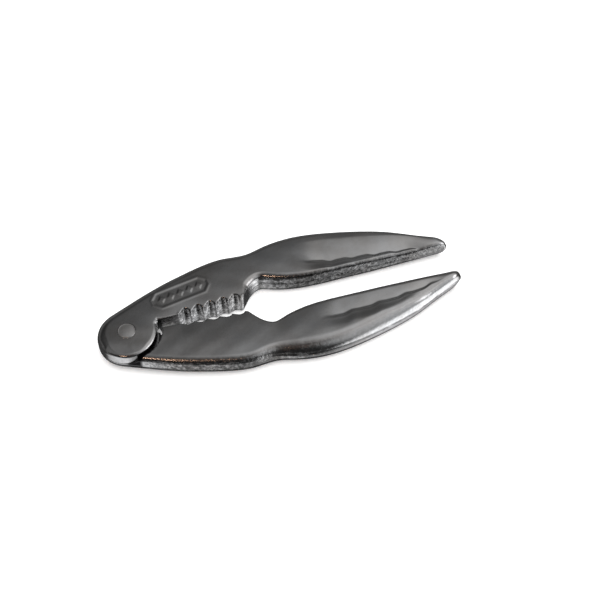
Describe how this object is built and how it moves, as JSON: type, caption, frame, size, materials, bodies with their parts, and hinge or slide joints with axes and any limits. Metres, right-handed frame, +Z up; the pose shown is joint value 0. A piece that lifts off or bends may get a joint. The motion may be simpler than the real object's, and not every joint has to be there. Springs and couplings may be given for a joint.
{
  "type": "nutcracker",
  "caption": "Two-lever lobster-style nutcracker with fluted jaws, a nut hollow behind them and tapered finger-grooved handles on one rivet.",
  "frame": {"origin": "centre of the bounding box at its bottom, where the tool lies on the table", "axes": "+X along the tool from the pivot towards the handle tips, +Y across the levers, +Z up out of the table along the rivet"},
  "size_m": [0.1696, 0.0648, 0.0126],
  "materials": {
    "plated_casting": "bright plating over a slightly uneven cast surface",
    "rivet_steel": "turned and peened steel, flush"
  },
  "bodies": {
    "fixed_lever": {"lower_lever": "plated_casting", "pivot_rivet": "rivet_steel"},
    "moving_lever": {"upper_lever": "plated_casting"}
  },
  "joints": [
    {"name": "lever_pivot", "type": "hinge", "parent": "fixed_lever", "child": "moving_lever", "pos_m": [-0.07131, 0, 0.0063], "axis": [0, 0, 1], "range_deg": [-5.4, 165]}
  ]
}
